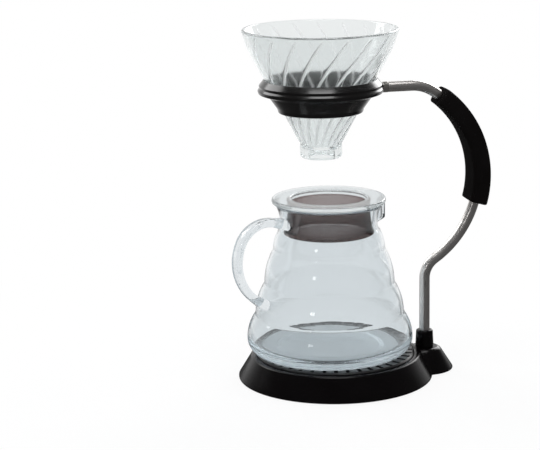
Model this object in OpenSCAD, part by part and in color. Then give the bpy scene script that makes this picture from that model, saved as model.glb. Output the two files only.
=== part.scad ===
// Pour-over dripper stand: a weighted base with a drip grate, a bent steel arm with a grip,
// a ring holder, a ribbed glass dripper, and a stepped glass server with its handle and lid.
// Millimetres. The origin lies on the table under the centre of the base,
// +X points from the centre to the post, and +Z points up.

/* [Base] */
// Diameter of the base at its foot
base_d = 150; // [146:1:170]
// Height of the rim above the table
base_h = 18.3; // [17.5:0.1:24]
// Radius of the rim's rounded outer edge
rim_round = 2.4; // [1:0.1:3.4]
// Height of the upright foot under the sloping flank
flank_foot = 1.2; // [0.6:0.1:2.5]
// Height of the housing's lower edge above the table
edge_lift = 0.4; // [0.2:0.1:1]
// Diameter of the recess that holds the drip tray
recess_d = 122; // [112:1:124]
// Depth of the recess below the rim
recess_depth = 6; // [5:0.1:7]
// Thickness of the deck under the recess
deck_t = 2.5; // [2:0.1:3.5]

/* [Underside] */
// Diameter of the non-slip pad
pad_d = 120; // [90:1:126]
// Thickness of the non-slip pad
pad_t = 1.4; // [1.1:0.1:1.8]
// Diameter of the bottom plate
plate_d = 128; // [126:0.5:130]
// Thickness of the bottom plate
plate_t = 2; // [1.8:0.1:2.4]
// Width of the ledge that the bottom plate seats on
ledge_w = 2; // [1:0.1:2.6]
// Diameter of the ballast disc
ballast_d = 100; // [60:1:104]
// Play above the ballast disc
ballast_play = 0.2; // [0.1:0.1:0.8]
// Number of screws that hold the bottom plate
plate_screws = 4; // [3:1:8]
// Diameter of the circle that the plate screws stand on
screw_circle_d = 114; // [112:0.5:116]
// Diameter of a pillar that takes a plate screw
pillar_d = 7; // [5.5:0.1:7.6]
// Diameter of a plate screw
screw_d = 3; // [2:0.1:3.5]
// Diameter of a plate screw's countersunk head
screw_head_d = 5.6; // [4.4:0.1:6.4]
// Length of a plate screw
screw_l = 7.5; // [5:0.1:8]

/* [Drip tray and grate] */
// Height of the grate's top above the rim
grate_proud = 1.6; // [0.8:0.1:3]
// Thickness of the grate
grate_t = 3.4; // [2.6:0.1:4]
// Width of the grate's bevelled edge
grate_edge = 1; // [0.4:0.1:1.4]
// Wall and floor thickness of the drip tray
tray_t = 1.2; // [0.8:0.1:1.6]
// Number of slots in the outer ring of the grate
outer_slots = 40; // [24:1:48]
// Inner diameter of the outer ring of slots
outer_slot_d = 104; // [100:1:108]
// Number of slots in the inner ring of the grate
inner_slots = 20; // [10:1:24]
// Inner diameter of the inner ring of slots
inner_slot_d = 34; // [30:1:50]
// Length of a slot in the inner ring
inner_slot_l = 14; // [8:0.5:17]
// Width of a slot
slot_w = 3; // [2:0.1:3.4]
// Diameter of the stud that carries the grate's centre
stud_d = 14; // [8:0.5:22]

/* [Post] */
// Distance of the post from the centre of the base
post_x = 72; // [71:0.5:76]
// Diameter of the boss at its foot
boss_d = 43; // [40:1:56]
// How much higher the boss's upright foot is than the base's
boss_foot = 0.8; // [0.4:0.1:1.6]
// Diameter of the boss where its top edge is rounded
boss_top_d = 18; // [16:0.5:26]
// Radius of the boss's rounded top edge
boss_round = 5; // [2:0.1:6]
// Depth of the boss's top below the rim
boss_drop = 0.5; // [0.3:0.1:2]
// Diameter of the collar
collar_d = 14.2; // [13:0.1:18]
// Height of the collar above the boss
collar_h = 13.4; // [8:0.1:24]
// Radius of the collar's rounded top edge
collar_round = 1.4; // [0.6:0.1:2]
// Diameter of the collar's spigot in the boss
spigot_d = 11; // [10:0.1:12]
// Length of the collar's spigot
spigot_l = 4; // [2:0.1:6]
// Depth of the arm's lower end below the boss's top
arm_depth = 10.4; // [8:0.1:10.8]
// Thickness of the web under the arm's lower end
web_t = 2.5; // [2:0.1:2.8]
// Diameter of the screw that pulls the arm down
post_screw_d = 5; // [3:0.1:5.4]
// Length of that screw under its head
post_screw_l = 16; // [10:0.5:24]
// Diameter of that screw's head
post_head_d = 9; // [7.5:0.1:9.6]
// Height of that screw's head
post_head_h = 2.8; // [2:0.1:3]
// Diameter of the washer
washer_d = 10.6; // [10:0.1:11]
// Thickness of the washer
washer_t = 1; // [0.6:0.1:1.2]
// Diameter of the pocket for the head and the washer
pocket_d = 12; // [11.4:0.1:12.4]

/* [Arm] */
// Diameter of the arm's rod
rod_d = 8; // [7:0.1:9]
// Height of the arm's level run above the table
arm_z = 224; // [214:1:250]
// Radius of the bow, on the rod's centreline
bow_r = 78.3; // [66:0.1:90]
// How far the bow reaches out past the post
bow_reach = 42.8; // [32:0.1:50]
// How far the bow's full circle would rise above the level run
bow_rise = 7.1; // [4:0.1:12]
// Radius of the bend between the post and the bow
foot_bend_r = 18; // [14:0.5:30]
// Radius of the bend between the bow and the level run
top_bend_r = 30; // [15:0.5:34]
// Diameter of the arm's threaded end in the holder
thread_d = 5; // [4:0.1:5.5]

/* [Grip] */
// Thickness of the grip across the bow
grip_t = 14.5; // [11:0.1:20]
// Width of the grip
grip_w = 26; // [14:0.5:34]
// Length of the grip along the rod
grip_l = 94.5; // [60:1:120]
// Bare rod between the top bend and the grip
grip_bare = 7.1; // [2:0.1:20]
// Radius of the grip's long edges
grip_round = 3.2; // [1:0.1:5]

/* [Holder] */
// Distance of the holder's axis from the base's axis, away from the post
holder_back = 9.7; // [4:0.1:14]
// Diameter of the holder's brim
brim_d = 95; // [91:0.1:104]
// Height of the holder's top edge above the arm's level run
brim_over = 8.6; // [7:0.1:12]
// Height of the brim's outer edge above the arm's level run
brim_edge = 0.8; // [0.5:0.1:2.5]
// Radius of the brim's rounded outer edge
brim_round = 1.7; // [1:0.1:2]
// Width of the flat on the holder's top edge
brim_land = 0.6; // [0.3:0.1:1.2]
// Depth of the brim's root below the arm's level run
brim_root = 4.2; // [3:0.1:7]
// Thickness of the holder's wall under the brim
bowl_wall = 3.7; // [3:0.1:6]
// Thickness of the holder's wall at its bottom
bowl_tip = 2.9; // [1.6:0.1:3.4]
// Depth of the holder's bottom below the arm's level run
bowl_depth = 16.4; // [12:0.1:22]
// Diameter of the lug that takes the arm's threaded end
lug_d = 9; // [8.4:0.1:11]
// How far the lug's face stands out past the brim
lug_proud = 0.2; // [0.1:0.1:0.8]
// Diameter of the threaded insert in the lug
insert_d = 6.8; // [6.2:0.1:7]
// Length of the ferrule on the arm's end
ferrule_l = 4.5; // [2:0.1:8]
// Diameter of the ferrule
ferrule_d = 8.4; // [8:0.1:8.8]
// Wall left between the insert's hole and the cone
thread_wall = 1.4; // [1:0.1:2]

/* [Dripper] */
// Diameter of the glass at the holder's top edge
seat_d = 84.2; // [80:0.1:88]
// Full angle of the cone
cone_angle = 56.4; // [50:0.1:60]
// Diameter of the rim
dripper_d = 119; // [115:0.5:126]
// Height of the rim above the holder's top edge
dripper_rise = 38; // [30:0.1:44]
// Height of the steeper band under the rim
band_h = 15; // [8:0.1:18]
// Thickness of the dripper's glass
dripper_t = 3.4; // [2.6:0.1:4]
// Radius of the rim's rounded edge
dripper_lip = 1.3; // [0.8:0.1:1.5]
// Diameter of the outlet
outlet_d = 31.8; // [28:0.1:34]
// Length of the outlet under the cone
outlet_l = 10.9; // [8:0.1:16]
// Diameter of the outlet's bore
outlet_bore = 20; // [14:0.1:22]
// Radius of the outlet's rounded lower edge
outlet_round = 3; // [1:0.1:3.4]
// Number of ribs inside the cone
rib_count = 18; // [8:1:20]
// Diameter of a rib, half of it sunk in the wall
rib_d = 2.4; // [1.6:0.1:2.6]
// Turn of a rib from its lower to its upper end
rib_turn = 50; // [20:1:60]

/* [Server] */
// Distance of the server's axis from the base's axis, away from the post
server_back = 4.2; // [2.5:0.1:8]
// Diameter of the belly
belly_d = 127.6; // [122:0.2:128]
// Height of the belly's widest line above the foot, and the radius of its lower edge
belly_h = 12; // [9:0.1:16]
// Diameter of the third step
step3_d = 114.4; // [110:0.2:118]
// Height of the third step above the foot
step3_h = 31.1; // [28:0.1:36]
// Diameter of the second step
step2_d = 100; // [94:0.2:106]
// Height of the second step above the foot
step2_h = 55.1; // [50:0.1:62]
// Diameter of the first step
step1_d = 85.8; // [82:0.2:90]
// Height of the first step above the foot
step1_h = 81.6; // [78:0.1:87]
// Diameter of the neck
neck_d = 74.4; // [70:0.2:78]
// Height of the neck's lower end above the foot
neck_low = 99.1; // [95:0.1:100]
// Height of the neck's upper end above the foot
neck_high = 102.1; // [101:0.1:105]
// Diameter of the mouth
mouth_d = 83; // [80:0.2:88]
// Height of the mouth above the foot
mouth_h = 118.1; // [114:0.1:122]
// Thickness of the server's wall
server_t = 2.2; // [1.8:0.1:3]
// Thickness of the server's floor
server_floor = 6.5; // [3:0.1:8]
// Depth of the hollow under the server's foot
punt_h = 1.2; // [0.6:0.1:2]
// Diameter of the hollow under the server's foot
punt_d = 84; // [60:1:90]
// Diameter of the pouring lip
lip_d = 16; // [12:0.5:20]
// Lean of the pouring lip
lip_lean = 6; // [0:1:30]

/* [Server handle] */
// Direction of the handle about the server's axis, in degrees
handle_turn = 193; // [150:1:220]
// Thickness of the handle
handle_t = 6; // [5:0.1:8]
// Width of the handle
handle_w = 11.5; // [9:0.1:18]
// Reach of the handle's centreline from the server's axis
handle_reach = 76; // [72:0.1:84]
// Height of the handle's top, on its centreline, above the foot
handle_h = 107.4; // [104:0.1:109]
// Radius of the handle's upper bend
handle_top_r = 23.7; // [18:0.1:26]
// Radius of the handle's lower bend
handle_low_r = 37; // [30:0.1:44]
// Angle at which the two bends meet
handle_meet = 25; // [10:1:40]
// Angle at which the lower bend ends in the belly
handle_end = -78; // [-82:1:-72]
// Fall of the handle's root towards the neck, in degrees
handle_fall = 14; // [6:1:20]

/* [Lid] */
// Diameter of the lid
lid_d = 87.2; // [84:0.2:90]
// Thickness of the lid's flange
lid_t = 3.7; // [3:0.1:5]
// Radius of the lid's rounded edges
lid_round = 1.5; // [0.8:0.1:1.8]
// Inner diameter of the lid's well
well_d = 57.4; // [50:0.2:59]
// Radius of the rounded edge into the well
well_round = 1.8; // [1:0.1:3]
// Thickness of the well's wall and floor
well_t = 1.5; // [1.2:0.1:2.4]
// Depth of the lid below the server's mouth
well_depth = 25; // [20:0.1:27]
// Gap between the lid's flange and the seal's top
seal_gap = 0.5; // [0.3:0.1:8]
// Thickness of the seal at its top
seal_t = 1.2; // [1:0.1:1.8]
// Radius of the bead round the seal's top
seal_bead = 0.6; // [0.3:0.1:0.8]

/* [Clearances] */
// Gap between pieces that come apart
run_gap = 0.3; // [0.2:0.05:0.4]
// Gap between pieces that are fixed to each other
fit_gap = 0.05; // [0.02:0.01:0.1]

/* [Hidden] */
$fn = 96;
over = 1;
// Bends of one rod stop short of each other, and a short, slightly fuller joint bridges them
joint_gap = 0.1;
joint_l = 0.8;
joint_grow = 0.02;

// Levels of the base
deck_top = base_h - recess_depth;
deck_low = deck_top - deck_t;
plate_top = pad_t + plate_t;
boss_top = base_h - boss_drop;
grate_top = base_h + grate_proud;
grate_low = grate_top - grate_t;
arm_low = boss_top - arm_depth;
web_low = arm_low - web_t;
cavity_d = plate_d - 2 * ledge_w;
tray_d = recess_d - 2 * run_gap;
slot_outer_d = tray_d - 2 * tray_t;

// Centreline of the arm, in the plane of the post and the holder
bow_z = arm_z + bow_rise - bow_r;
bow_x = post_x + bow_reach - bow_r;
foot_dx = bow_r + foot_bend_r - bow_reach;
foot_dz = sqrt(pow(bow_r + foot_bend_r, 2) - pow(foot_dx, 2));
foot_bend_z = bow_z - foot_dz;
foot_angle = atan2(foot_dz, foot_dx);
top_dz = bow_r - top_bend_r - bow_rise;
top_dx = sqrt(pow(bow_r - top_bend_r, 2) - pow(top_dz, 2));
top_bend_x = bow_x + top_dx;
top_angle = atan2(top_dz, top_dx);
grip_high = top_angle - grip_bare / bow_r * 180 / PI;
grip_low = grip_high - grip_l / bow_r * 180 / PI;

// Holder and dripper share one axis and one cone
holder_x = -holder_back;
cone_rate = tan(cone_angle / 2);
brim_top = arm_z + brim_over;
brim_r = brim_d / 2;
lug_face = holder_x + brim_r + lug_proud;
arm_end = lug_face + ferrule_l;
seat_gap = run_gap / cos(cone_angle / 2);
dripper_wall = dripper_t / cos(cone_angle / 2);
rim_z = brim_top + dripper_rise;
band_z = rim_z - band_h;
cone_z = brim_top - (seat_d - outlet_d) / 2 / cone_rate;
outlet_z = cone_z - outlet_l;
bore_z = cone_z - (glass_r(cone_z) - dripper_wall - outlet_bore / 2) / cone_rate;
thread_end = holder_x + glass_r(arm_z + insert_d / 2) + seat_gap + thread_wall;
holder_low = arm_z - bowl_depth;

// Server and lid share one axis
server_x = -server_back;
foot_z = grate_top;
mouth_z = foot_z + mouth_h;
lid_top = mouth_z + lid_t;
well_low = mouth_z - well_depth;
well_outer = well_d / 2 + well_t;
seal_low = well_low + well_t / 2;
seal_top = mouth_z - seal_gap;
seal_h = seal_top - seal_low;
seal_flare = neck_d / 2 - server_t - run_gap;
handle_top_x = handle_reach - handle_top_r;
handle_top_z = foot_z + handle_h - handle_top_r;
handle_low_x = handle_top_x - (handle_low_r - handle_top_r) * cos(handle_meet);
handle_low_z = handle_top_z - (handle_low_r - handle_top_r) * sin(handle_meet);

// Outer radius of the dripper's cone at height z
function glass_r(z) = seat_d / 2 + (z - brim_top) * cone_rate;

// Point where a line from p touches the upper outer side of a circle of radius r about c
function touch(p, c, r) =
  let (a = atan2(p[1] - c[1], p[0] - c[0]) + acos(r / norm(p - c)))
  c + r * [cos(a), sin(a)];

// Outward arc from point a down to point b, upright at b
function step_arc(a, b, steps = 10) =
  let (sweep = 2 * atan2(b[0] - a[0], a[1] - b[1]), r = (a[1] - b[1]) / sin(sweep))
  [for (i = [1 : steps]) let (t = sweep * (1 - i / steps)) [b[0] - r * (1 - cos(t)), b[1] + r * sin(t)]];

// Arc about c from angle a0 to a1
function arc(c, r, a0, a1, steps = 12) =
  [for (i = [0 : steps]) let (t = a0 + (a1 - a0) * i / steps) c + r * [cos(t), sin(t)]];

// Server's outline from its mouth down to its foot, drawn in by t
function server_side(t) =
  let (
    d = [neck_d, step1_d, step2_d, step3_d, belly_d] / 2,
    h = [neck_low, step1_h, step2_h, step3_h, belly_h],
    p = [for (i = [0 : 4]) [d[i] - t, foot_z + h[i]]],
    flare = 2 * atan2((mouth_d - neck_d) / 2, mouth_h - neck_high),
    flare_r = (mouth_h - neck_high) / sin(flare)
  )
  concat(
    arc([neck_d / 2 - t + flare_r, foot_z + neck_high], flare_r, 180 - flare, 180),
    [p[0]],
    [for (i = [1 : 4]) each step_arc(p[i - 1], p[i])]
  );

// Sloping body of revolution with an upright foot and a rounded top edge
module puck(foot_r, edge_r, low, high, round, upright) {
  centre = [edge_r, high - round];
  foot = [foot_r, low + upright];
  rotate_extrude() {
    polygon([
      [0, low], [foot_r, low], foot, touch(foot, centre, round), centre, [edge_r, high], [0, high]
    ]);
    intersection() {
      translate(centre) circle(round);
      translate([edge_r - over, low]) square([round + over, high - low]);
    }
  }
}

// Ring of upright cuts or studs on a circle
module on_circle(count, r) {
  for (i = [0 : count - 1]) rotate(360 / count * (i + 0.5)) translate([r, 0, 0]) children();
}

// Rounded rectangle of size w by h about the origin
module rounded(w, h, r) {
  square([w, h - 2 * r], center = true);
  square([w - 2 * r, h], center = true);
  for (x = [-1, 1], y = [-1, 1]) translate([x * (w / 2 - r), y * (h / 2 - r)]) circle(r, $fn = 48);
}

// Section carried along an arc in the XZ plane, with both ends drawn in by trim
module bent(x, z, r, a0, a1, trim = 0) {
  cut = trim / r * 180 / PI;
  translate([x, 0, z]) rotate([90, 0, 0]) rotate(a0 + cut) rotate_extrude(angle = a1 - a0 - 2 * cut)
    translate([r, 0]) children();
}

// Short straight joint on such an arc, at angle a
module bent_joint(x, z, r, a) {
  translate([x + r * cos(a), 0, z + r * sin(a)]) rotate([0, -a, 0])
    translate([0, 0, -joint_l / 2]) linear_extrude(joint_l) children();
}

// Base

module base_housing() {
  color("#161617") difference() {
    union() {
      difference() {
        union() {
          puck(base_d / 2, recess_d / 2 + rim_round, edge_lift, base_h, rim_round, flank_foot);
          translate([post_x, 0, 0])
            puck(boss_d / 2, boss_top_d / 2, edge_lift, boss_top, boss_round, flank_foot + boss_foot);
        }
        translate([0, 0, deck_top]) cylinder(d = recess_d, h = recess_depth + over);
        translate([0, 0, edge_lift - over]) cylinder(d = cavity_d, h = deck_low - edge_lift + over);
        translate([0, 0, edge_lift - over])
          cylinder(d = plate_d + 2 * run_gap, h = plate_top - edge_lift + over);
      }
      on_circle(plate_screws, screw_circle_d / 2)
        translate([0, 0, plate_top]) cylinder(d = pillar_d, h = deck_low - plate_top + over);
    }
    on_circle(plate_screws, screw_circle_d / 2) translate([0, 0, plate_top - over])
      cylinder(d = screw_d + 2 * fit_gap, h = pad_t + screw_l - plate_top + 2 * over);
    translate([post_x, 0, arm_low]) cylinder(d = rod_d + 2 * fit_gap, h = arm_depth + over);
    translate([post_x, 0, boss_top - spigot_l - fit_gap])
      cylinder(d = spigot_d + 2 * fit_gap, h = spigot_l + over);
    translate([post_x, 0, edge_lift - over]) cylinder(d = pocket_d, h = web_low - edge_lift + over);
    translate([post_x, 0, web_low - over]) cylinder(d = post_screw_d + 2 * run_gap, h = web_t + 2 * over);
  }
}

module bottom_plate() {
  color("#8d9094") translate([0, 0, pad_t]) difference() {
    cylinder(d = plate_d, h = plate_t);
    on_circle(plate_screws, screw_circle_d / 2) {
      translate([0, 0, -over]) cylinder(d = screw_d + 2 * run_gap, h = plate_t + 2 * over);
      screw_head(run_gap);
    }
  }
}

module ballast_disc() {
  color("#4a4b4d") translate([0, 0, plate_top])
    cylinder(d = ballast_d, h = deck_low - plate_top - ballast_play);
}

module non_slip_pad() {
  color("#1d1d1e") cylinder(d = pad_d, h = pad_t);
}

// Countersunk head, grown by gap round its cone
module screw_head(gap = 0) {
  cylinder(d1 = screw_head_d + 2 * gap, d2 = screw_d + 2 * gap, h = (screw_head_d - screw_d) / 2);
}

module plate_screws() {
  color("#a9acaf") on_circle(plate_screws, screw_circle_d / 2) translate([0, 0, pad_t]) {
    screw_head();
    cylinder(d = screw_d, h = screw_l);
  }
}

module drip_tray() {
  color("#1a1a1b") translate([0, 0, deck_top]) difference() {
    cylinder(d = tray_d, h = grate_low - deck_top);
    translate([0, 0, tray_t]) cylinder(d = tray_d - 2 * tray_t, h = grate_low - deck_top);
  }
}

module drip_grate() {
  outer_l = (slot_outer_d - outer_slot_d) / 2;
  color("#202022") difference() {
    union() {
      translate([0, 0, grate_low]) cylinder(d = tray_d, h = grate_t - grate_edge);
      translate([0, 0, grate_top - grate_edge])
        cylinder(d1 = tray_d, d2 = tray_d - 2 * grate_edge, h = grate_edge);
      translate([0, 0, deck_top + tray_t]) cylinder(d = stud_d, h = grate_low - deck_top - tray_t + over);
    }
    for (ring = [[outer_slots, outer_slot_d, outer_l], [inner_slots, inner_slot_d, inner_slot_l]])
      on_circle(ring[0], ring[1] / 2)
        translate([0, -slot_w / 2, grate_low - over]) cube([ring[2], slot_w, grate_t + 2 * over]);
  }
}

// Post and arm

module post_collar() {
  color("#161617") translate([post_x, 0, boss_top]) difference() {
    union() {
      cylinder(d = collar_d, h = collar_h - collar_round);
      rotate_extrude() {
        translate([0, collar_h - collar_round - over])
          square([collar_d / 2 - collar_round, collar_round + over]);
        intersection() {
          translate([collar_d / 2 - collar_round, collar_h - collar_round]) circle(collar_round);
          translate([collar_d / 2 - 2 * collar_round, collar_h - 2 * collar_round])
            square(2 * collar_round);
        }
      }
      translate([0, 0, -spigot_l]) cylinder(d = spigot_d, h = spigot_l + over);
    }
    translate([0, 0, -spigot_l - over]) cylinder(d = rod_d + 2 * fit_gap, h = spigot_l + collar_h + 2 * over);
  }
}

module arm_rod() {
  tap_depth = post_screw_l - web_t - washer_t + over;
  joint_d = rod_d + 2 * joint_grow;
  color("#9a9691") difference() {
    union() {
      translate([post_x, 0, arm_low]) cylinder(d = rod_d, h = foot_bend_z - joint_gap - arm_low);
      bent(post_x + foot_bend_r, foot_bend_z, foot_bend_r, 180 - foot_angle, 180, joint_gap)
        circle(d = rod_d);
      bent(bow_x, bow_z, bow_r, -foot_angle, top_angle, joint_gap) circle(d = rod_d);
      bent(top_bend_x, arm_z - top_bend_r, top_bend_r, top_angle, 90, joint_gap) circle(d = rod_d);
      translate([arm_end, 0, arm_z]) rotate([0, 90, 0])
        cylinder(d = rod_d, h = top_bend_x - joint_gap - arm_end);
      bent_joint(post_x + foot_bend_r, foot_bend_z, foot_bend_r, 180) circle(d = joint_d);
      bent_joint(bow_x, bow_z, bow_r, -foot_angle) circle(d = joint_d);
      bent_joint(bow_x, bow_z, bow_r, top_angle) circle(d = joint_d);
      bent_joint(top_bend_x, arm_z - top_bend_r, top_bend_r, 90) circle(d = joint_d);
      translate([thread_end + fit_gap, 0, arm_z]) rotate([0, 90, 0])
        cylinder(d = thread_d, h = arm_end - thread_end + over);
    }
    translate([post_x, 0, arm_low - over]) cylinder(d = post_screw_d + 2 * fit_gap, h = tap_depth + over);
  }
}

module post_screw() {
  color("#a9acaf") translate([post_x, 0, web_low - washer_t]) {
    translate([0, 0, -post_head_h]) cylinder(d = post_head_d, h = post_head_h);
    cylinder(d = post_screw_d, h = post_screw_l);
  }
}

module post_washer() {
  color("#a9acaf") translate([post_x, 0, web_low - washer_t]) difference() {
    cylinder(d = washer_d, h = washer_t);
    translate([0, 0, -over]) cylinder(d = post_screw_d + 2 * run_gap, h = washer_t + 2 * over);
  }
}

module grip_sleeve() {
  color("#1b1b1c") difference() {
    bent(bow_x, bow_z, bow_r, grip_low, grip_high) rounded(grip_t, grip_w, grip_round);
    bent(bow_x, bow_z, bow_r, grip_low - over, grip_high + over) circle(d = rod_d + 2 * fit_gap);
  }
}

// Holder

module ring_holder() {
  inner_low = glass_r(holder_low) + seat_gap;
  inner_top = glass_r(brim_top) + seat_gap;
  root_z = arm_z - brim_root;
  edge = [brim_r - brim_round, arm_z + brim_edge];
  below = [glass_r(root_z) + seat_gap + bowl_wall, root_z];
  color("#141415") translate([holder_x, 0, 0]) difference() {
    union() {
      rotate_extrude() {
        polygon([
          [inner_low - over, holder_low],
          [inner_low + bowl_tip, holder_low],
          [inner_low + bowl_wall, holder_low + bowl_tip],
          below,
          edge + brim_round * [sin(45), -cos(45)],
          edge + brim_round * [sin(45), cos(45)],
          [inner_top + brim_land, brim_top],
          [inner_top - over, brim_top]
        ]);
        translate(edge) circle(brim_round);
      }
      intersection() {
        translate([0, 0, arm_z]) rotate([0, 90, 0]) cylinder(d = lug_d, h = brim_r + lug_proud);
        translate([0, 0, holder_low]) difference() {
          cylinder(r = brim_r + over, h = brim_top - holder_low);
          translate([0, 0, -over]) cylinder(r = inner_low + bowl_wall, h = brim_top - holder_low + 2 * over);
        }
      }
    }
    translate([0, 0, holder_low - over])
      cylinder(r1 = inner_low - over * cone_rate, r2 = inner_top + over * cone_rate,
               h = brim_top - holder_low + 2 * over);
    translate([thread_end - holder_x, 0, arm_z]) rotate([0, 90, 0])
      cylinder(d = insert_d + 2 * fit_gap, h = brim_r);
  }
}

module lug_insert() {
  insert_l = lug_face - thread_end - fit_gap;
  color("#b08d4f") translate([lug_face - insert_l, 0, arm_z]) rotate([0, 90, 0]) difference() {
    cylinder(d = insert_d, h = insert_l);
    translate([0, 0, -over]) cylinder(d = thread_d + 2 * fit_gap, h = insert_l + 2 * over);
  }
}

module arm_ferrule() {
  color("#d4d2ce") translate([lug_face, 0, arm_z]) rotate([0, 90, 0]) difference() {
    cylinder(d = ferrule_d, h = ferrule_l);
    translate([0, 0, -over]) cylinder(d = thread_d + 2 * fit_gap, h = ferrule_l + 2 * over);
  }
}

// Dripper

// One rib: straight bars with round knuckles between them, that climb and turn inside the cone
module rib() {
  bars = 3;
  knuckle_d = rib_d + 0.1;
  low_z = cone_z + rib_d;
  ends = [for (i = [0 : bars])
    let (z = low_z + (band_z - low_z) * i / bars, a = rib_turn * i / bars, r = glass_r(z) - dripper_wall)
    [r * cos(a), r * sin(a), z]];
  for (i = [0 : bars - 1]) {
    run = ends[i + 1] - ends[i];
    translate(ends[i]) rotate([0, acos(run[2] / norm(run)), atan2(run[1], run[0])])
      cylinder(d = rib_d, h = norm(run), $fn = 24);
    if (i > 0) translate(ends[i]) sphere(d = knuckle_d, $fn = 24);
  }
}

module dripper_glass() {
  rim_r = dripper_d / 2;
  color("#dfe5e6", 0.5) translate([holder_x, 0, 0]) union() {
    rotate_extrude() {
      polygon([
        [outlet_bore / 2, outlet_z],
        [outlet_d / 2 - outlet_round, outlet_z],
        [outlet_d / 2 - outlet_round, outlet_z + outlet_round],
        [outlet_d / 2, outlet_z + outlet_round],
        [outlet_d / 2, cone_z],
        [glass_r(band_z), band_z],
        [rim_r, rim_z - dripper_lip],
        [rim_r - 2 * dripper_lip, rim_z - dripper_lip],
        [glass_r(band_z) - dripper_wall, band_z],
        [outlet_bore / 2, bore_z]
      ]);
      translate([outlet_d / 2 - outlet_round, outlet_z + outlet_round]) circle(outlet_round, $fn = 48);
      translate([rim_r - dripper_lip, rim_z - dripper_lip]) circle(dripper_lip, $fn = 48);
    }
    for (i = [0 : rib_count - 1]) rotate(360 / rib_count * i) rib();
  }
}

// Server

// Everything inside the server's outer surface
module server_form() {
  side = server_side(0);
  corner = arc([belly_d / 2 - belly_h, foot_z + belly_h], belly_h, 0, -90);
  rotate_extrude() polygon(concat([[0, mouth_z]], side, corner, [[0, foot_z]]));
}

// Space inside the server, open above its mouth
module server_space() {
  side = server_side(server_t);
  mouth = [mouth_d / 2 - server_t, mouth_z + over];
  round = belly_h - server_floor + server_t;
  corner = arc([belly_d / 2 - server_t - round, foot_z + server_floor + round], round, 0, -90);
  body = [for (p = side) if (p[1] > foot_z + server_floor + round) p];
  rotate_extrude() polygon(concat([[0, mouth_z + over], mouth], body, corner, [[0, foot_z + server_floor]]));
}

// Leaning bar of the pouring lip, from floor_t above the neck to above the mouth
module lip_bar(d, floor_t = 0) {
  reach = mouth_h - neck_high;
  translate([neck_d / 2, 0, mouth_z]) rotate([0, lip_lean, 0])
    translate([0, 0, floor_t - reach]) cylinder(d = d, h = 2 * reach);
}

module server_glass() {
  lip_low = foot_z + neck_high;
  color("#cdd3da", 0.5) translate([server_x, 0, 0]) difference() {
    union() {
      server_form();
      rotate(handle_turn - 180) intersection() {
        lip_bar(lip_d);
        translate([0, -lip_d, lip_low - lip_d]) cube([mouth_d, 2 * lip_d, mouth_z - lip_low + lip_d]);
      }
    }
    server_space();
    rotate(handle_turn - 180) lip_bar(lip_d - 2 * server_t, server_t);
    translate([0, 0, foot_z - over]) cylinder(d = punt_d, h = punt_h + over);
  }
}

module server_handle() {
  root_turn = 90 + handle_fall;
  root = [handle_top_x + handle_top_r * cos(root_turn), handle_top_z + handle_top_r * sin(root_turn)];
  root_l = (root[0] - neck_d / 2 + server_t) / cos(handle_fall);
  color("#cdd3da", 0.5) translate([server_x, 0, 0]) difference() {
    rotate(handle_turn) {
      bent(handle_top_x, handle_top_z, handle_top_r, handle_meet, root_turn, joint_gap) handle_section();
      bent(handle_low_x, handle_low_z, handle_low_r, handle_end, handle_meet, joint_gap) handle_section();
      translate([root[0], 0, root[1]]) rotate([0, -root_turn, 0])
        translate([0, 0, joint_gap]) linear_extrude(root_l) handle_section();
      bent_joint(handle_top_x, handle_top_z, handle_top_r, handle_meet) handle_section(joint_grow);
      bent_joint(handle_top_x, handle_top_z, handle_top_r, root_turn) handle_section(joint_grow);
    }
    server_form();
  }
}

// Flat section with round edges, grown all round by grow
module handle_section(grow = 0) {
  t = handle_t + 2 * grow;
  square([t, handle_w - handle_t], center = true);
  for (y = [-1, 1]) translate([0, y * (handle_w - handle_t) / 2]) circle(d = t, $fn = 48);
}

// Lid

module lid_glass() {
  flange_r = lid_d / 2;
  well_r = well_d / 2;
  color("#dfe5e6", 0.5) translate([server_x, 0, 0]) difference() {
    rotate_extrude() {
      polygon([
        [0, well_low], [well_outer, well_low], [well_outer, mouth_z], [flange_r - lid_round, mouth_z],
        [flange_r - lid_round, lid_top], [0, lid_top]
      ]);
      translate([flange_r - lid_round, mouth_z + lid_round]) circle(lid_round, $fn = 48);
      translate([flange_r - lid_round, lid_top - lid_round]) circle(lid_round, $fn = 48);
      translate([flange_r - lid_round, mouth_z + lid_round]) square([lid_round, lid_t - 2 * lid_round]);
    }
    rotate_extrude() difference() {
      polygon([
        [0, well_low + well_t], [well_r, well_low + well_t], [well_r, lid_top - well_round],
        [well_r + well_round, lid_top - well_round], [well_r + well_round, lid_top + over],
        [0, lid_top + over]
      ]);
      translate([well_r + well_round, lid_top - well_round]) circle(well_round, $fn = 48);
    }
  }
}

module lid_seal() {
  bore_r = well_outer + fit_gap;
  top_r = well_outer + seal_t;
  flare = atan2(seal_flare - top_r, seal_h);
  flare_r = seal_h / sin(2 * flare);
  color("#5c5350", 0.8) translate([server_x, 0, 0]) rotate_extrude() {
    polygon(concat(
      [[bore_r, seal_low]],
      arc([top_r + flare_r, seal_top], flare_r, 180 + 2 * flare, 180),
      [[bore_r, seal_top]]
    ));
    translate([top_r, seal_top - seal_bead]) circle(seal_bead, $fn = 32);
  }
}

base_housing();
bottom_plate();
ballast_disc();
non_slip_pad();
plate_screws();
drip_tray();
drip_grate();
post_collar();
arm_rod();
post_screw();
post_washer();
grip_sleeve();
ring_holder();
lug_insert();
arm_ferrule();
dripper_glass();
server_glass();
server_handle();
lid_glass();
lid_seal();
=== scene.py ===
# %% [markdown]
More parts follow.
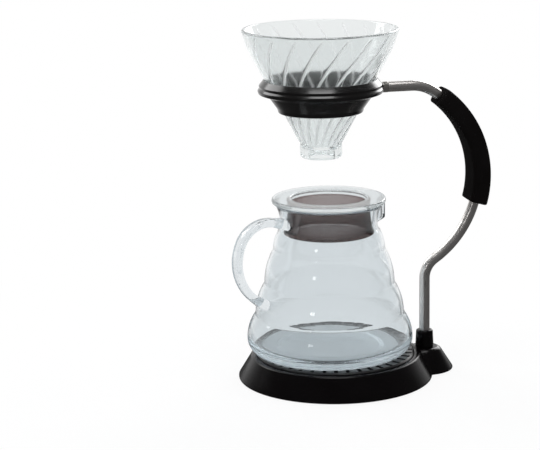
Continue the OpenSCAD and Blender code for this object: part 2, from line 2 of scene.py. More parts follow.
# # Pour-over dripper stand
# A weighted round base carries a bent steel arm. The arm holds a ring, the ring holds a ribbed glass cone,
# and a stepped glass server stands on the drip grate below. The frame gives every piece at its real size
# and place. This lesson dresses it: most pieces that show are worked out again as smooth surfaces, the
# others keep the frame's solids, and every piece gets its real finish.

# %% Load the frame
import math

import bmesh
import bpy
import numpy as np
from mathutils import Matrix, Vector


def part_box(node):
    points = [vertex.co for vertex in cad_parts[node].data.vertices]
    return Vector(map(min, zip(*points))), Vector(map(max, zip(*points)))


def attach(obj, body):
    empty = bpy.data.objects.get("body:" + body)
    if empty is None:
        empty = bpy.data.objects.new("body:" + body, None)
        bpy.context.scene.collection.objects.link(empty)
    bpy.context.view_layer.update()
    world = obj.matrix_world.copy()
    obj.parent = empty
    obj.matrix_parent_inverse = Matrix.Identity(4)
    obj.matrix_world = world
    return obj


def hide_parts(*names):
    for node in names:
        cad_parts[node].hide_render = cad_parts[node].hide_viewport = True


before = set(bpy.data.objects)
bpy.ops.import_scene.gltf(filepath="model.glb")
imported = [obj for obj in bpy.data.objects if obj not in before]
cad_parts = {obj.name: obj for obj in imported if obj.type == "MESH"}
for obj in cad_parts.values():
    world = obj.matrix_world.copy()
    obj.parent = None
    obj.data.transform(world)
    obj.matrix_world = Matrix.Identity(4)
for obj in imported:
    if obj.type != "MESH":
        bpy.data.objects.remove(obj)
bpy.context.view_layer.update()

MM = 0.001

# %% [markdown]
# ## Places from the frame
# Blender works in metres, but a product like this is drawn in millimetres. All sizes below are millimetres,
# and each is turned into metres where Blender takes it. Places come from the boxes of the frame's nodes, so
# a piece lands where the frame has it.

# %% Boxes in millimetres


def span(node):
    """Lowest and highest corner of a frame node, in millimetres."""
    low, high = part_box(node)
    return np.array(low) / MM, np.array(high) / MM


base_low, base_high = span("base_housing")
tray_low, tray_high = span("drip_tray")
collar_low, collar_high = span("post_collar")
rod_low, rod_high = span("arm_rod")
grip_low, grip_high = span("grip_sleeve")
holder_low, holder_high = span("ring_holder")
ferrule_low, ferrule_high = span("arm_ferrule")
cone_low, cone_high = span("dripper_glass")
server_low, server_high = span("server_glass")
lid_low, lid_high = span("lid_glass")
seal_low, seal_high = span("lid_seal")

post_x = (collar_low[0] + collar_high[0]) / 2
cone_x = (cone_low[0] + cone_high[0]) / 2
server_x = (lid_low[0] + lid_high[0]) / 2
arm_z = (ferrule_low[2] + ferrule_high[2]) / 2
rod_r = rod_high[1]
print(f"post at x {post_x:.1f}, cone axis {cone_x:.1f}, server axis {server_x:.1f}, arm at z {arm_z:.1f} mm")

# %% [markdown]
# ## Camera
# The photograph was taken with a long lens from a little above the table, turned a few degrees off the
# plane of the arm. The camera is set by the point it looks at, its direction, its distance and a slight
# roll.

# %% Set the camera
VIEW_POINT = (-48.0, 10.2, 120.2)
VIEW_AZIMUTH = -12.0
VIEW_ELEVATION = 12.97
VIEW_DISTANCE = 1443.75
VIEW_ROLL = -0.93
LENS, SENSOR = 125.95, 36.0

azimuth, elevation = math.radians(VIEW_AZIMUTH), math.radians(VIEW_ELEVATION)
backward = Vector((
    math.sin(azimuth) * math.cos(elevation),
    -math.cos(azimuth) * math.cos(elevation),
    math.sin(elevation),
))
camera = bpy.data.objects.new("camera", bpy.data.cameras.new("camera"))
camera.data.lens = LENS
camera.data.sensor_width = SENSOR
camera.location = (Vector(VIEW_POINT) + backward * VIEW_DISTANCE) * MM
roll = Matrix.Rotation(math.radians(VIEW_ROLL), 3, "Z")
camera.rotation_euler = (backward.to_track_quat("Z", "Y").to_matrix() @ roll).to_euler()
bpy.context.scene.collection.objects.link(camera)
bpy.context.scene.camera = camera
print("camera at", [round(c, 3) for c in camera.location])

# %% [markdown]
# ## Surfaces from grids
# Nearly every piece here was turned, pressed in a round mould or bent from a bar, so its surface is a
# function of two parameters: along an outline and round an axis. Numpy works out the whole grid of points
# at once, and one function makes quads of it, closes seams and poles by merging points that meet, and turns
# the faces outwards.

# %% Grid to mesh
QUAD = ((0, 0), (0, 1), (1, 1), (1, 0))
MERGE = 0.0001


def surface(name, grid, wrap_rows=False, wrap_cols=False, crease=35):
    """Mesh object over a grid of points (rows, columns, 3) in millimetres.

    Corner (i, j) joins (i, j+1), (i+1, j+1) and (i+1, j); wrapping joins the last row or column to the first.
    The UV map counts columns and rows from 0 to 1, so a pattern can follow the surface.
    """
    rows, cols = grid.shape[:2]
    i, j = np.meshgrid(np.arange(rows - (not wrap_rows)), np.arange(cols - (not wrap_cols)), indexing="ij")
    quads = np.stack([(i + di) % rows * cols + (j + dj) % cols for di, dj in QUAD], -1).reshape(-1, 4)
    uv = np.stack([np.stack([(j + dj) / cols, (i + di) / rows], -1) for di, dj in QUAD], -2)
    mesh = bpy.data.meshes.new(name)
    mesh.from_pydata((grid.reshape(-1, 3) * MM).tolist(), [], quads.tolist())
    mesh.uv_layers.new(name="UVMap").data.foreach_set("uv", uv.ravel())
    shape = bmesh.new()
    shape.from_mesh(mesh)
    bmesh.ops.remove_doubles(shape, verts=shape.verts, dist=MERGE * MM)
    bmesh.ops.dissolve_degenerate(shape, edges=shape.edges, dist=MERGE * MM)
    bmesh.ops.recalc_face_normals(shape, faces=shape.faces)
    shape.to_mesh(mesh)
    shape.free()
    mesh.polygons.foreach_set("use_smooth", np.ones(len(mesh.polygons), bool))
    mesh.set_sharp_from_angle(angle=math.radians(crease))
    piece = bpy.data.objects.new(name, mesh)
    bpy.context.scene.collection.objects.link(piece)
    return piece


# %% Outlines


def fillet(corners, steps=8, closed=False):
    """Outline through corners (r, z, radius), as an array of (r, z).

    A corner with a radius becomes the arc that touches both of its sides. The arc starts and ends
    radius / tan(half the corner's angle) from the corner, and its centre lies radius / sin(half) along the
    bisector.
    """
    corners = np.asarray(corners, float)
    if closed:
        corners = np.concatenate([corners[-1:], corners, corners[:1]])
    points = corners[:, 0] + 1j * corners[:, 1]
    runs = [] if closed else [points[:1]]
    for before, here, after, radius in zip(points, points[1:], points[2:], corners[1:, 2]):
        back = (before - here) / abs(before - here)
        ahead = (after - here) / abs(after - here)
        half = abs(np.angle(ahead / back)) / 2
        centre = here + (back + ahead) / abs(back + ahead) * radius / np.sin(half)
        start = here + back * radius / np.tan(half) - centre
        end = here + ahead * radius / np.tan(half) - centre
        turn = np.angle(end / start) if radius else 0
        runs.append(centre + start * np.exp(1j * turn * np.linspace(0, 1, steps + 1 if radius else 1)))
    outline = np.concatenate(runs if closed else [*runs, points[-1:]])
    return np.stack([outline.real, outline.imag], -1)


def length_along(outline):
    """Length of the outline up to each of its points."""
    return np.concatenate([[0], np.cumsum(np.hypot(*np.diff(outline, axis=0).T))])


def dense(outline, step=1.0, closed=False):
    """The same outline with extra points on its long sides, so that no side is longer than step."""
    if closed:
        outline = np.concatenate([outline, outline[:1]])
    along = length_along(outline)
    every = np.unique(np.round(np.concatenate([along, np.arange(0, along[-1], step)]), 6))
    if closed:
        every = every[:-1]
    return np.stack([np.interp(every, along, side) for side in outline.T], -1)


def arc(centre, radius, start, end, steps=24):
    """Points at radius about centre, from angle start to angle end in degrees."""
    turn = np.radians(np.linspace(start, end, steps + 1))
    return np.asarray(centre) + radius * np.stack([np.cos(turn), np.sin(turn)], -1)


def smoothstep(low, high, value):
    """0 below low, 1 above high, and 3 t^2 - 2 t^3 between them."""
    t = np.clip((value - low) / (high - low), 0, 1)
    return t * t * (3 - 2 * t)


def turned(x, r, turn, z):
    """Grid at radius r and angle turn about the upright axis at x: (x + r cos turn, r sin turn, z)."""
    return np.stack([x + r * np.cos(turn), r * np.sin(turn), z + 0 * r * turn], -1)


def lathe(name, outline, x=0.0, turns=192, closed=True):
    """Outline (r, z) turned all the way round the upright axis at x."""
    turn = np.linspace(0, 2 * np.pi, turns, endpoint=False)
    grid = turned(x, outline[:, :1], turn, outline[:, 1:])
    return surface(name, grid, wrap_rows=closed, wrap_cols=True)


# %% [markdown]
# ## Nodes and colours
# Materials are node trees. One small function adds a node, sets what it is given and links what comes from
# another node. A Mix node has sockets for every kind of value, so those for colours are found by number.
# Colours are written as sRGB hex values, as an eye reads them off the object, and one function turns them
# into the linear values that a shader works with.

# %% Small helpers for materials
MIX_FACTOR, MIX_A, MIX_B, MIX_RESULT = 0, 6, 7, 2


def linear(code):
    """sRGB hex colour to linear RGBA."""
    s = np.array([int(code[i:i + 2], 16) for i in (1, 3, 5)]) / 255
    return (*np.where(s <= 0.04045, s / 12.92, ((s + 0.055) / 1.055) ** 2.4), 1.0)


def add(tree, kind, sockets=None, **settings):
    """A new shader node of a kind: settings are its properties, and sockets says what goes into its inputs.

    That is a value, another node's socket, or another node, whose first output is then linked.
    """
    made = tree.nodes.new("ShaderNode" + kind)
    for key, value in settings.items():
        setattr(made, key, value)
    for key, value in (sockets or {}).items():
        if isinstance(value, bpy.types.Node):
            value = value.outputs[0]
        if isinstance(value, bpy.types.NodeSocket):
            tree.links.new(value, made.inputs[key])
        else:
            made.inputs[key].default_value = value
    return made


def new_material(name):
    """An empty material with its output and texture coordinates: (material, tree, output, coordinates)."""
    made = bpy.data.materials.new(name)
    made.use_nodes = True
    made.node_tree.nodes.clear()
    output = add(made.node_tree, "OutputMaterial")
    place = add(made.node_tree, "TexCoord")
    print("material:", name)
    return made, made.node_tree, output, place


def two_tone(tree, value, low, high, dark, light):
    """Colour socket that goes from dark, where value is at low, to light, where it is at high."""
    tone = add(tree, "MapRange", {"Value": value, "From Min": low, "From Max": high})
    mix = add(tree, "Mix", {MIX_FACTOR: tone, MIX_A: linear(dark), MIX_B: linear(light)}, data_type="RGBA")
    return mix.outputs[MIX_RESULT]


def dress(piece, material, body, slot, *nodes):
    """Gives a new piece its finish, hangs it on its body's empty and hides the frame's nodes that it stands
    for.
    """
    piece.data.materials.append(material)
    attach(piece, body)
    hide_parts(*nodes)
    print(f"{piece.name}: {len(piece.data.polygons)} faces on {body}")


# %% [markdown]
# ## Moulded black plastic
# The base, the collar and the grate are moulded ABS with a satin skin. The mould's spark-eroded texture
# gives fine pits a few tenths of a millimetre wide, which spread the highlights. Here a noise of that size
# drives a small bump, and a slower one shifts the roughness a little, as handling does. The pits are drawn
# 0.6 mm wide so that they show. The ring holder comes from a polished mould and mirrors more, and the grip
# is a matt elastomer.

# %% Black mouldings
PIT, PIT_DEPTH = 0.6, 0.1
HANDLED = 30.0
TONE_FROM, TONE_TO = 0.3, 0.75
DRIFT_FROM, DRIFT_TO = 0.3, 0.7
DRIFT = 0.05
ABS_INDEX = 1.53


def moulded_plastic(name, shade, light, roughness, bump, shine=0.4):
    """Moulded plastic with pits of PIT mm and a roughness that drifts over HANDLED mm.

    Its colour lies between shade and light, bump is how much the pits show and shine how much it mirrors.
    """
    made, tree, output, place = new_material(name)
    drift = add(tree, "TexNoise", {
        "Vector": place.outputs["Object"], "Scale": 1 / (HANDLED * MM), "Detail": 4.0,
    })
    colour = two_tone(tree, drift, TONE_FROM, TONE_TO, shade, light)
    rough = add(tree, "MapRange", {
        "Value": drift, "From Min": DRIFT_FROM, "From Max": DRIFT_TO,
        "To Min": roughness - DRIFT, "To Max": roughness + DRIFT,
    })
    pits = add(tree, "TexNoise", {
        "Vector": place.outputs["Object"], "Scale": 1 / (PIT * MM), "Detail": 2.0,
    })
    skin = add(tree, "Bump", {"Height": pits, "Strength": bump, "Distance": PIT_DEPTH * MM})
    shader = add(tree, "BsdfPrincipled", {
        "Base Color": colour, "Roughness": rough,
        "Normal": skin, "IOR": ABS_INDEX, "Specular IOR Level": shine,
    })
    tree.links.new(shader.outputs["BSDF"], output.inputs["Surface"])
    return made


housing_abs = moulded_plastic("satin_moulded_abs", "#050304", "#080607", 0.2, 0.2, 0.16)
holder_abs = moulded_plastic("gloss_moulded_abs", "#050303", "#080606", 0.2, 0.1, 0.6)
grate_abs = moulded_plastic("grate_moulded_abs", "#100e0f", "#181617", 0.34, 0.25)
tray_abs = moulded_plastic("tray_moulded_abs", "#0d0d0e", "#141415", 0.5, 0.3)
grip_elastomer = moulded_plastic("matt_moulded_elastomer", "#0d0b0b", "#141212", 0.85, 0.5, 0.02)
pad_foam = moulded_plastic("foam_rubber", "#161617", "#232324", 0.85, 0.9)

# %% [markdown]
# ## Steel and brass
# The arm is a stainless bar, polished with a belt along its length, so fine scratches run along the bar and
# draw its highlights out across it. The UV map of a swept bar counts round it and along it, so a noise that
# is stretched along the bar gives the scratches. They are drawn about 0.4 mm wide, coarser than real ones,
# so that they show.

# %% Metals
STREAK_FROM, STREAK_TO = 0.25, 0.75
STREAK_DRIFT = 0.07
STREAK_BUMP, STREAK_DEPTH = 0.05, 0.05
GRAIN_FROM, GRAIN_TO = 0.3, 0.7
GRAIN_DRIFT = 0.1
GRAIN_BUMP, GRAIN_DEPTH = 0.1, 0.1


def belt_polished(name, dark, light, roughness, scratches, length):
    """Metal with scratches along V of the UV map: a noise of scratches cells round, length cells along."""
    made, tree, output, place = new_material(name)
    lanes = add(tree, "Mapping", {"Vector": place.outputs["UV"], "Scale": (scratches, length, 1.0)})
    streaks = add(tree, "TexNoise", {"Vector": lanes, "Scale": 1.0, "Detail": 5.0, "Roughness": 0.65})
    colour = two_tone(tree, streaks, STREAK_FROM, STREAK_TO, dark, light)
    rough = add(tree, "MapRange", {
        "Value": streaks, "From Min": STREAK_FROM, "From Max": STREAK_TO,
        "To Min": roughness - STREAK_DRIFT, "To Max": roughness + STREAK_DRIFT,
    })
    skin = add(tree, "Bump", {"Height": streaks, "Strength": STREAK_BUMP, "Distance": STREAK_DEPTH * MM})
    shader = add(tree, "BsdfPrincipled", {
        "Base Color": colour, "Metallic": 1.0, "Roughness": rough,
        "Normal": skin,
    })
    tree.links.new(shader.outputs["BSDF"], output.inputs["Surface"])
    return made


def plain_metal(name, dark, light, roughness, grain):
    """Metal whose colour and roughness vary over grains of grain mm, as plating or casting makes them."""
    made, tree, output, place = new_material(name)
    mottle = add(tree, "TexNoise", {
        "Vector": place.outputs["Object"], "Scale": 1 / (grain * MM), "Detail": 5.0,
    })
    colour = two_tone(tree, mottle, GRAIN_FROM, GRAIN_TO, dark, light)
    rough = add(tree, "MapRange", {
        "Value": mottle,
        "To Min": roughness - GRAIN_DRIFT, "To Max": roughness + GRAIN_DRIFT,
    })
    skin = add(tree, "Bump", {"Height": mottle, "Strength": GRAIN_BUMP, "Distance": GRAIN_DEPTH * MM})
    shader = add(tree, "BsdfPrincipled", {
        "Base Color": colour, "Metallic": 1.0, "Roughness": rough,
        "Normal": skin,
    })
    tree.links.new(shader.outputs["BSDF"], output.inputs["Surface"])
    return made


arm_stainless = belt_polished("belt_polished_stainless", "#d6d1ce", "#f5f2ef", 0.3, 40.0, 14.0)
ferrule_stainless = belt_polished("turned_stainless", "#b9b5b0", "#e4e1dc", 0.16, 4.0, 80.0)
zinc_plate = plain_metal("zinc_plated_sheet", "#8f9396", "#b9bdc0", 0.35, 6.0)
zinc_screw = plain_metal("zinc_plated_screw", "#9a9ea0", "#c4c7c9", 0.3, 1.5)
cast_iron = plain_metal("cast_iron", "#3a3a3c", "#55565a", 0.6, 2.0)
insert_brass = plain_metal("turned_brass", "#a9853f", "#cfae66", 0.28, 1.0)

# %% [markdown]
# ## Glass and smoke silicone
# The cone, the server and the lid are borosilicate glass with an index of 1.474. Thick glass takes a little
# red out of the light, so edges and feet look darker and bluer than the walls: a plain absorption inside
# the glass gives that. Lamps reach through glass in reality, and a transparent shader for their rays lets
# them do so here too. Hand-blown and pressed walls are never quite even, so a slow noise bends the surface
# by a hair. Where an attribute of the mesh is set, the surface turns rough and partly white, and the white
# is painted light. The lid's greyer tint and its dimmed mirror are painted shade on its flange. The seal is
# a smoke-coloured silicone that clings to the glass and has a matt skin, so it gets an index close to that
# of air and a weak mirror.

# %% Clear materials
WAVE, WAVE_DEPTH = 18.0, 1.0
FROST_ROUGH = 0.5
# How much of a rough surface is white that paints light, how much of that white sends light back, and its
# colour.
PAINTED_LIGHT_SHARE = 0.6
PAINTED_LIGHT_BACK = 0.8
PAINTED_LIGHT_COLOUR = (0.9, 0.9, 0.9, 1.0)
GLASS_INDEX = 1.474
SILICONE_INDEX = 1.03


def clear_solid(name, tint, inside, density, index, roughness, ripple, mirror="#ffffff"):
    """Glass or silicone: tint is taken at each wall, inside and density (per metre) on the way through.

    A mirror colour below white dims what the surface mirrors: on the silicone it stands for a matt skin,
    which hardly reflects, and on the lid it is painted shade that greys the flange. Where a mesh carries
    the attribute that this material reads, its surface goes from clear at 0 to rough at 1, and a set share
    of it is white that paints light: of that white, a set share sends light back and the rest lets it
    through.
    """
    made, tree, output, place = new_material(name)
    wave = add(tree, "TexNoise", {
        "Vector": place.outputs["Object"], "Scale": 1 / (WAVE * MM), "Detail": 1.0,
    })
    skin = add(tree, "Bump", {"Height": wave, "Strength": ripple, "Distance": WAVE_DEPTH * MM})
    frost_and_painted_light = add(tree, "Attribute", attribute_name="frost_and_painted_light")
    rough = add(tree, "MapRange", {
        "Value": frost_and_painted_light.outputs["Fac"], "To Min": roughness, "To Max": FROST_ROUGH,
    })
    shader = add(tree, "BsdfPrincipled", {
        "Base Color": linear(tint), "Roughness": rough, "IOR": index,
        "Transmission Weight": 1.0, "Normal": skin, "Specular Tint": linear(mirror),
    })
    # The white that paints light where the attribute is set.
    ahead = add(tree, "BsdfTranslucent", {"Color": PAINTED_LIGHT_COLOUR})
    back = add(tree, "BsdfDiffuse", {"Color": PAINTED_LIGHT_COLOUR})
    white = add(tree, "MixShader", {0: PAINTED_LIGHT_BACK, 1: ahead, 2: back})
    white_share = add(tree, "Math", {0: frost_and_painted_light.outputs["Fac"], 1: PAINTED_LIGHT_SHARE}, operation="MULTIPLY")
    with_painted_light = add(tree, "MixShader", {0: white_share, 1: shader, 2: white})
    through = add(tree, "BsdfTransparent", {"Color": linear(tint)})
    rays = add(tree, "LightPath")
    mix = add(tree, "MixShader", {0: rays.outputs["Is Shadow Ray"], 1: with_painted_light, 2: through})
    depth = add(tree, "VolumeAbsorption", {"Color": linear(inside), "Density": density})
    tree.links.new(mix.outputs["Shader"], output.inputs["Surface"])
    tree.links.new(depth.outputs["Volume"], output.inputs["Volume"])
    return made


cone_glass = clear_solid("pressed_borosilicate", "#eff2f2", "#cdd6d8", 6.0, GLASS_INDEX, 0.1, 0.05)
server_glass = clear_solid("blown_borosilicate", "#eaeef0", "#c6d0d6", 8.0, GLASS_INDEX, 0.02, 0.1)
# The lid's tint, greyer than the other glass, and its mirror colour below white are painted shade that greys
# its flange.
lid_glass = clear_solid(
    "pressed_lid_borosilicate", "#e2e6e7", "#cdd6d8", 8.0, GLASS_INDEX, 0.06, 0.03, "#a8a8a8")
smoke_silicone = clear_solid(
    "smoke_moulded_silicone", "#eeeae9", "#a8857e", 700.0, SILICONE_INDEX, 0.1, 0.05, "#6a6a6a")

# %% [markdown]
# ## Base housing
# One moulding: a recess for the tray, a rounded rim, a sloping flank and a boss for the post that grows out
# of the flank. Two domes are worked out as heights over the table, and a smooth maximum joins them with a
# fillet. For each direction round the axis, a bisection finds how far out the skin comes down to the foot.

# %% Shape of the housing
RIM_ROUND = 2.4
EDGE_ROUND = 0.6
FOOT_UP = 1.2
FOOT_ROUND = 0.6
BOSS_R = 21.5
BOSS_TOP_R = 9.0
BOSS_ROUND = 5.0
BOSS_FOOT = 0.8
BOSS_BLEND = 3.0
PLATE_R = 64.3
LEDGE_R = 62.0
DECK = 2.5
PLATE_TOP = 3.4
WALL_GAP = 0.3
SPIGOT = 4.0
BOSS_SECTOR = 24.0
BOSS_COLUMNS, OTHER_COLUMNS = 120, 180
SKIN_ROWS = 90
HALVINGS = 40
BEYOND = 10.0

recess_r = tray_high[0] + WALL_GAP
deck_top = tray_low[2]
boss_top = collar_low[2] + SPIGOT
foot_z = base_low[2] + FOOT_UP


def dome(r, top, edge_r, round_r, foot_r, low):
    """Height at radius r: flat, then an arc of round_r about (edge_r, top - round_r), then a flank.

    The flank runs through (foot_r, low); it touches the arc where the angle is that of the line to the foot
    plus arccos(round_r / its length).
    """
    run, drop = foot_r - edge_r, low - (top - round_r)
    lean = math.atan2(drop, run) + math.acos(round_r / math.hypot(run, drop))
    touch_r, touch_z = edge_r + round_r * math.cos(lean), top - round_r * (1 - math.sin(lean))
    curve = top - round_r + np.sqrt(np.maximum(round_r ** 2 - (r - edge_r) ** 2, 0))
    flank = touch_z + (low - touch_z) * (r - touch_r) / (foot_r - touch_r)
    return np.where(r < edge_r, top, np.where(r < touch_r, curve, flank))


def housing_skin(r, turn):
    """Height of the top skin at radius r and angle turn: smooth maximum of the base's and boss's domes."""
    from_post = np.hypot(r * np.cos(turn) - post_x, r * np.sin(turn))
    base = dome(r, base_high[2], recess_r + RIM_ROUND, RIM_ROUND, -base_low[0], foot_z)
    boss = dome(from_post, boss_top, BOSS_TOP_R, BOSS_ROUND, BOSS_R, foot_z + BOSS_FOOT)
    near = np.maximum(BOSS_BLEND - np.abs(base - boss), 0) / BOSS_BLEND
    return np.maximum(base, boss) + near ** 2 * BOSS_BLEND / 4


# %% Make the housing
sector = np.radians(BOSS_SECTOR)
turn = np.concatenate([
    np.linspace(-sector, sector, BOSS_COLUMNS, endpoint=False),
    np.linspace(sector, 2 * np.pi - sector, OTHER_COLUMNS, endpoint=False),
])
inner, outer = np.full_like(turn, recess_r), np.full_like(turn, base_high[0] + BEYOND)
for _ in range(HALVINGS):
    middle = (inner + outer) / 2
    above = housing_skin(middle, turn) > foot_z
    inner, outer = np.where(above, middle, inner), np.where(above, outer, middle)
edge = inner
share = np.linspace(0, 1, SKIN_ROWS)[:, None]
skin_r = recess_r + EDGE_ROUND + (edge - recess_r - EDGE_ROUND) * share
skin_z = housing_skin(skin_r, turn)
recess = dense(fillet([
    (0, deck_top, 0), (recess_r, deck_top, 0.8), (recess_r, base_high[2], EDGE_ROUND),
    (recess_r + RIM_ROUND, base_high[2], 0),
]), 2.0)
recess = recess[recess[:, 0] < recess_r + EDGE_ROUND - 0.01]
foot_arc = fillet([
    (0, foot_z, 0), (0, base_low[2], FOOT_ROUND), (-RIM_ROUND, base_low[2], 0),
])[1:-1]
under = dense(fillet([
    (PLATE_R, base_low[2], 0), (PLATE_R, PLATE_TOP, 0), (LEDGE_R, PLATE_TOP, 0),
    (LEDGE_R, deck_top - DECK, 0.5), (0, deck_top - DECK, 0),
]), 4.0)
level = 0 * turn
housing_r = np.concatenate([recess[:, :1] + level, skin_r, foot_arc[:, :1] + edge, under[:, :1] + level])
housing_z = np.concatenate([recess[:, 1:] + level, skin_z, foot_arc[:, 1:] + level, under[:, 1:] + level])
housing = surface("housing", turned(0, housing_r, turn, housing_z), wrap_cols=True)
dress(housing, housing_abs, "stand", "housing_plastic", "base_housing")

# %% [markdown]
# ## Collar
# A short moulded tube hides where the bar enters the boss. Its wall leans in a little towards the top, so
# that it leaves the mould.

# %% Make the collar
DRAFT = 0.6
SPIGOT_R = 5.5
BORE_GAP = 0.05
collar_r = (collar_high[0] - collar_low[0]) / 2
bore_r = rod_r + BORE_GAP
collar = lathe("collar", dense(fillet([
    (bore_r, collar_low[2], 0.2), (SPIGOT_R, collar_low[2], 0.3), (SPIGOT_R, boss_top, 0.2),
    (collar_r, boss_top, 0.3), (collar_r - DRAFT, collar_high[2], 1.3), (bore_r, collar_high[2], 0.4),
], closed=True), 1.5, closed=True), post_x, turns=96)
dress(collar, housing_abs, "stand", "housing_plastic", "post_collar")

# %% [markdown]
# ## Arm
# The bar was bent cold round three rollers: a post, a tight bend outwards, a wide bow for the hand and a
# bend into the level run. Its centreline is lines and arcs that touch each other, and a circle is carried
# along it.

# %% Bends of the arm
BOW_R = 78.3
BOW_RISE = 7.1
FOOT_BEND = 18.0
TOP_BEND = 30.0
ROD_STEP = 1.2

bow_reach = rod_high[0] - rod_r - post_x
bow = np.array([post_x + bow_reach - BOW_R, arm_z + BOW_RISE - BOW_R])
foot_run = BOW_R + FOOT_BEND - bow_reach
foot_rise = math.sqrt((BOW_R + FOOT_BEND) ** 2 - foot_run ** 2)
foot_angle = math.degrees(math.atan2(foot_rise, foot_run))
foot_bend = np.array([post_x + FOOT_BEND, bow[1] - foot_rise])
top_rise = BOW_R - TOP_BEND - BOW_RISE
top_run = math.sqrt((BOW_R - TOP_BEND) ** 2 - top_rise ** 2)
top_angle = math.degrees(math.atan2(top_rise, top_run))
top_bend = np.array([bow[0] + top_run, arm_z - TOP_BEND])


def sweep(path, section):
    """Grid of a section carried along a path (x, z) in the plane of the arm.

    Each row is path + n * section[0] + Y * section[1], where n is the path's tangent turned a quarter and Y
    points out of the plane.
    """
    ahead = np.gradient(path, axis=0)
    ahead /= np.hypot(*ahead.T)[:, None]
    out = np.stack([ahead[:, 1], -ahead[:, 0]], -1)
    x = path[:, :1] + out[:, :1] * section[..., 0]
    z = path[:, 1:] + out[:, 1:] * section[..., 0]
    return np.stack([x, np.broadcast_to(section[..., 1], x.shape), z], -1)


def capped(grid):
    """The same grid with one more row at each end, drawn together to its middle, which closes the end."""
    first, last = (0 * row + row.mean(0) for row in (grid[0], grid[-1]))
    return np.concatenate([first[None], grid, last[None]])


# %% Make the arm
centreline = dense(np.concatenate([
    [(post_x, rod_low[2])],
    arc(foot_bend, FOOT_BEND, 180, 180 - foot_angle),
    arc(bow, BOW_R, -foot_angle, top_angle, 96)[1:],
    arc(top_bend, TOP_BEND, top_angle, 90)[1:],
    [(ferrule_high[0], arm_z)],
]), ROD_STEP)
round_section = arc((0, 0), rod_r, 0, 360, 40)[:-1]
rod = surface("arm", capped(sweep(centreline, round_section)), wrap_cols=True)
dress(rod, arm_stainless, "stand", "arm_steel", "arm_rod")

# %% [markdown]
# ## Grip
# A sleeve of matt elastomer is moulded round the bow. It is wider than thick, with rounded long edges and a
# small round at each end, and its faces swell a little. The section is a rounded rectangle, carried round
# the bow and drawn in at the ends; the bore inside closes the solid.

# %% Make the grip
GRIP_T = 14.5
GRIP_ROUND = 3.2
GRIP_L = 94.5
GRIP_BARE = 7.1
GRIP_END = 1.4
GRIP_CROWN = 0.35

grip_w = grip_high[1] - grip_low[1]
grip_top = top_angle - math.degrees(GRIP_BARE / BOW_R)
grip_foot = grip_top - math.degrees(GRIP_L / BOW_R)
half_t, half_w = GRIP_T / 2, grip_w / 2
flat = dense(fillet([
    (half_t, -half_w, GRIP_ROUND), (half_t, half_w, GRIP_ROUND),
    (-half_t, half_w, GRIP_ROUND), (-half_t, -half_w, GRIP_ROUND),
], closed=True), 1.0, closed=True)
flat[:, 0] -= np.sign(flat[:, 0]) * GRIP_CROWN * (flat[:, 1] / half_w) ** 2
spoke = flat / np.hypot(*flat.T)[:, None]
rounding = np.radians(np.linspace(0, 90, 7))
inset = GRIP_END * (1 - np.sin(rounding))
end_push = math.degrees(GRIP_END / BOW_R) * (1 - np.cos(rounding))
body_turn = np.linspace(grip_foot + end_push[-1], grip_top - end_push[-1], 80)
turns_out = np.concatenate([grip_foot + end_push, body_turn[1:-1], grip_top - end_push[::-1]])
insets = np.concatenate([inset, 0 * body_turn[1:-1], inset[::-1]])
shrink = np.stack([1 - insets / half_t, 1 - insets / half_w], -1)[:, None]
bore_turns = np.linspace(grip_top, grip_foot, 20)
sections = np.concatenate([flat * shrink, np.repeat((spoke * bore_r)[None], len(bore_turns), 0)])
all_turns = np.radians(np.concatenate([turns_out, bore_turns]))[:, None]
reach = BOW_R + sections[..., 0]
grip = surface("grip", np.stack([
    bow[0] + reach * np.cos(all_turns), sections[..., 1], bow[1] + reach * np.sin(all_turns),
], -1), wrap_rows=True, wrap_cols=True)
dress(grip, grip_elastomer, "stand", "grip_rubber", "grip_sleeve")

# %% [markdown]
# ## Ring holder
# A glossy moulding with a sloping brim, a bead round its edge and a conical bowl that carries the cone. The
# slope and the bead face up and mirror the lamp overhead, so they look grey, and the groove between them
# stays black. The outline is turned, and on the arm's side the skin is pulled out to a round lug, which
# takes the bar's thread.

# %% Shape of the holder
CONE_RATE = math.tan(math.radians(28.2))
SEAT_GAP = 0.34
LUG_R = 4.5
SEAT_R = 42.1
BOWL_TIP = 2.9
BOWL_WALL = 3.7
BRIM_UNDER = 4.4
LUG_SECTOR = 12.0
LUG_COLUMNS = 48
LUG_EDGE = 0.5
LUG_SKIN = 0.8
brim_r = cone_x - holder_low[0]
lug_reach = holder_high[0] - cone_x
brim_z, bowl_z = holder_high[2], holder_low[2]


def cone_r(z):
    """Outer radius of the glass cone at height z."""
    return SEAT_R + (z - brim_z) * CONE_RATE


# %% Make the holder
seat_top, seat_low = cone_r(brim_z) + SEAT_GAP, cone_r(bowl_z) + SEAT_GAP
root_z = arm_z - BRIM_UNDER
root_r = cone_r(root_z) + SEAT_GAP + BOWL_WALL
seat = [(seat_top + 0.5, brim_z, 0.4), (seat_top, brim_z, 0.2), (seat_low, bowl_z, 0.4)]
bowl = [(seat_low + BOWL_TIP, bowl_z, 0.9), (seat_low + BOWL_WALL, bowl_z + BOWL_TIP, 2.0)]
bead = [(root_r, root_z, 0.8), (brim_r - 0.6, arm_z - 1.7, 1.0), (brim_r, arm_z + 0.6, 1.2)]
groove, slope = (brim_r - 1.5, arm_z + 2.5, 0.4), (brim_r - 1.0, arm_z + 4.2, 0.7)
ring_outline = dense(fillet([*seat, *bowl, *bead, groove, slope], closed=True), 0.7, closed=True)
lug_sector = np.radians(LUG_SECTOR)
ring_turn = np.concatenate([
    np.linspace(-lug_sector, lug_sector, LUG_COLUMNS, endpoint=False),
    np.linspace(lug_sector, 2 * np.pi - lug_sector, OTHER_COLUMNS, endpoint=False),
])
